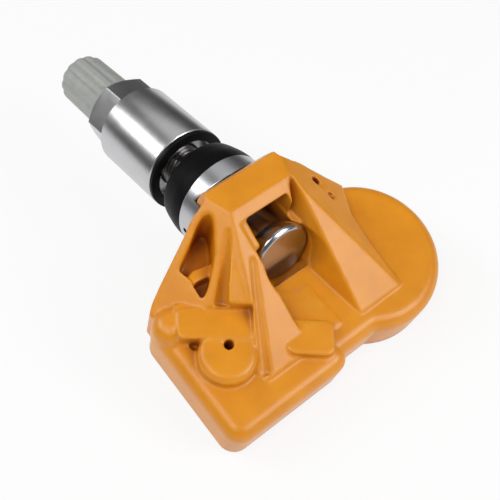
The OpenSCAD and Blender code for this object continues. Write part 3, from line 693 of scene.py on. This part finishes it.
metalLooks = {
    "nutSatin": {
        "low": (0.5, 0.5, 0.51), "high": (0.64, 0.64, 0.65),
        "deep": (0.3, 0.3, 0.3), "worn": (0.9, 0.9, 0.9),
        "pitch": 0.05, "face": 0.0, "rough": 0.3, "bump": 0.1,
        "paintedShadeShare": 0.3,
    },
    "collarSatin": {
        "low": (0.5, 0.51, 0.52), "high": (0.64, 0.64, 0.66),
        "deep": (0.3, 0.3, 0.3), "worn": (0.9, 0.9, 0.9),
        "pitch": 0.05, "face": 0.0, "rough": 0.32, "bump": 0.1,
        "paintedShadeShare": 0.3,
    },
    "stemPolish": {
        "low": (0.42, 0.43, 0.46), "high": (0.56, 0.57, 0.6),
        "deep": (0.2, 0.2, 0.2), "worn": (0.9, 0.9, 0.9),
        "pitch": 0.16, "face": 1.0, "rough": 0.22, "bump": 0.1,
        "paintedShadeShare": 0.5,
    },
    # the thread colours are kept dark as painted shade for the gap between washer and collar
    "threadSteel": {
        "low": (0.14, 0.14, 0.145), "high": (0.26, 0.26, 0.27),
        "deep": (0.08, 0.07, 0.06), "worn": (0.85, 0.85, 0.85),
        "pitch": 0.05, "face": 0.0, "rough": 0.3, "bump": 0.1,
        "paintedShadeShare": 0.8,
    },
    "cellSteel": {
        "low": (0.5, 0.5, 0.5), "high": (0.66, 0.66, 0.66),
        "deep": (0.3, 0.3, 0.3), "worn": (0.85, 0.85, 0.85),
        "pitch": 0.1, "face": 0.0, "rough": 0.3, "bump": 0.1,
        "paintedShadeShare": 0.2,
    },
    "nickelStrip": {
        "low": (0.55, 0.53, 0.49), "high": (0.7, 0.68, 0.63),
        "deep": (0.3, 0.29, 0.27), "worn": (0.85, 0.83, 0.8),
        "pitch": 0.08, "face": 0.0, "rough": 0.3, "bump": 0.1,
        "paintedShadeShare": 0.2,
    },
    "brassTurned": {
        "low": (0.62, 0.42, 0.16), "high": (0.78, 0.57, 0.26),
        "deep": (0.3, 0.2, 0.08), "worn": (0.9, 0.74, 0.45),
        "pitch": 0.08, "face": 0.0, "rough": 0.25, "bump": 0.1,
        "paintedShadeShare": 0.3,
    },
    "copperWire": {
        "low": (0.55, 0.2, 0.08), "high": (0.78, 0.33, 0.16),
        "deep": (0.2, 0.07, 0.03), "worn": (0.9, 0.5, 0.3),
        "pitch": 0.12, "face": 0.0, "rough": 0.3, "bump": 0.6,
        "paintedShadeShare": 0.3,
    },
    "springSteel": {
        "low": (0.42, 0.42, 0.44), "high": (0.56, 0.56, 0.58),
        "deep": (0.2, 0.2, 0.2), "worn": (0.75, 0.75, 0.76),
        "pitch": 0.1, "face": 0.0, "rough": 0.25, "bump": 0.1,
        "paintedShadeShare": 0.2,
    },
}
finishes = {name: mouldedFinish(name, look) for name, look in mouldedLooks.items()}
finishes.update({name: turnedFinish(name, look) for name, look in metalLooks.items()})

nodeFinish = {
    "back_cover": "coverAmber", "circuit_board": "boardGreen", "battery_cell": "cellSteel",
    "battery_tab_top": "nickelStrip", "battery_tab_bottom": "nickelStrip", "sensor_chip": "chipBlack",
    "port_seal": "sealRubber", "port_filter": "filterWhite", "crystal": "nickelStrip", "coil_core": "chipBlack",
    "coil_winding": "copperWire", "antenna_loop": "nickelStrip", "capacitors": "capacitorTan",
    "core_barrel": "brassTurned", "core_ring": "filterWhite", "core_pin": "brassTurned",
    "core_cup": "sealRubber", "core_spring": "springSteel", "cap_seal": "sealRubber",
    "housing": "caseAmber", "valve_stem": "stemPolish", "nut": "nutSatin", "collar": "collarSatin",
    "grommet": "grommetBlack", "washer": "washerBlack", "cap": "capGrey",
}
for piece, body, node, slot in pieces:
    piece.data.materials.clear()
    piece.data.materials.append(finishes[nodeFinish[node]])
stemMetal.data.materials.append(finishes["threadSteel"])
tellThreads(stemMetal, stemShape)
for name, obj in nodes.items():
    obj.data.materials.clear()
    obj.data.materials.append(finishes[nodeFinish[name]])
print("finishes placed:", len(finishes))

# A pale floor under the case, soft panels and a few dark cards that the bright metal mirrors
# size in metres, drop in mm; plain is the share of the floor that shows as pure white
floorLook = {
    "colour": (0.9, 0.9, 0.9), "paleColour": (0.95, 0.95, 0.95), "patch": 0.05, "rough": 0.7,
    "size": (3.0, 3.0), "drop": 0.15, "plain": 0.85,
}


def makeSheet(name, size):
    x, y = size[0] / 2, size[1] / 2
    mesh = bpy.data.meshes.new(name)
    mesh.from_pydata([(-x, -y, 0), (x, -y, 0), (x, y, 0), (-x, y, 0)], [], [(0, 1, 2, 3)])
    return newObject(name, mesh)


def makeFloor(look):
    lowest = min(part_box(name)[0].z for name in nodes)
    floor = makeSheet("paperFloor", look["size"])
    floor.location.z = lowest - look["drop"] * mm
    material, b, shader = newFinish("paperWhite")
    tone = b.noise(b.millimetres(), look["patch"], 2.0)
    b.feed(shader.inputs["Base Color"], b.mixColour(tone, colour(look["colour"]), colour(look["paleColour"])))
    shader.inputs["Roughness"].default_value = look["rough"]
    # seen directly, mirrored or through glass, the paper is mostly plain white and keeps part of its shadow
    rays = b.node("ShaderNodeLightPath").outputs
    seen = b.math("ADD", rays["Is Camera Ray"], rays["Is Glossy Ray"])
    seen = b.math("ADD", seen, rays["Is Transmission Ray"], clamp=True)
    white = b.node("ShaderNodeEmission", None, Color=colour((1, 1, 1)), Strength=1.0).outputs[0]
    blend = b.node("ShaderNodeMixShader", None,
                   i0=b.math("MULTIPLY", seen, look["plain"]), i1=shader.outputs[0], i2=white)
    output = material.node_tree.nodes["Material Output"]
    b.feed(output.inputs["Surface"], blend.outputs[0])
    floor.data.materials.append(material)


makeFloor(floorLook)

worldLight = {"colour": (1.0, 1.0, 1.0), "strength": 0.14}
world = bpy.data.worlds.new("studio")
bpy.context.scene.world = world
world.use_nodes = True
sky = world.node_tree.nodes["Background"]
sky.inputs["Color"].default_value = colour(worldLight["colour"])
sky.inputs["Strength"].default_value = worldLight["strength"]

# each lamp and card stands off the target in its own direction, by metres; its second side runs along long
target = Vector((0, -8, 0)) * mm
panels = {
    "leftBackPanel": {"from": (-0.546, 0.518, 0.66), "distance": 0.42, "size": (0.14, 0.42), "long": (0, 1, 0),
                      "power": 0.85},
    "overheadPanel": {"from": (0.35, 0.45, 0.82), "distance": 0.5, "size": (0.36, 0.3), "long": (0, 0, 1),
                      "power": 0.22},
    "frontPanel": {"from": (0.380, -0.739, 0.557), "distance": 0.42, "size": (0.21, 0.21), "long": (0, 0, 1),
                   "power": 0.85},
    "topPanel": {"from": (-0.5, -0.28, 0.83), "distance": 0.6, "size": (0.25, 0.25), "long": (0, 0, 1),
                 "power": 1.0},
}
cards = {
    "leftCard": {"from": (-0.8, 0.518, 0.12), "distance": 0.28, "size": (0.34, 0.19), "long": (0, 0, 1),
                 "colour": (0.03, 0.03, 0.03), "rough": 0.9},
    "rightCard": {"from": (0.8, 0.518, 0.1), "distance": 0.28, "size": (0.3, 0.2), "long": (0, 0, 1),
                  "colour": (0.05, 0.05, 0.05), "rough": 0.9},
}


def standOff(obj, look):
    # sets the object at its distance from the target and turns it to face the target
    back = Vector(look["from"]).normalized()
    side = Vector(look["long"]).cross(back).normalized()
    turn = Matrix((side, back.cross(side), back)).transposed()
    obj.matrix_world = Matrix.Translation(target + back * look["distance"]) @ turn.to_4x4()


def makePanel(name, look):
    data = bpy.data.lights.new(name, "AREA")
    data.shape = "RECTANGLE"
    data.size, data.size_y = look["size"]
    data.energy = look["power"]
    standOff(newObject(name, data), look)


def makeCard(name, look):
    card = makeSheet(name, look["size"])
    material, b, shader = newFinish(name + "Paint")
    shader.inputs["Base Color"].default_value = colour(look["colour"])
    shader.inputs["Roughness"].default_value = look["rough"]
    card.data.materials.append(material)
    standOff(card, look)
    card.visible_camera = False


for name, look in panels.items():
    makePanel(name, look)
for name, look in cards.items():
    makeCard(name, look)
print("light set:", len(panels), "panels,", len(cards), "cards")

bpy.context.scene.view_settings.view_transform = "Standard"
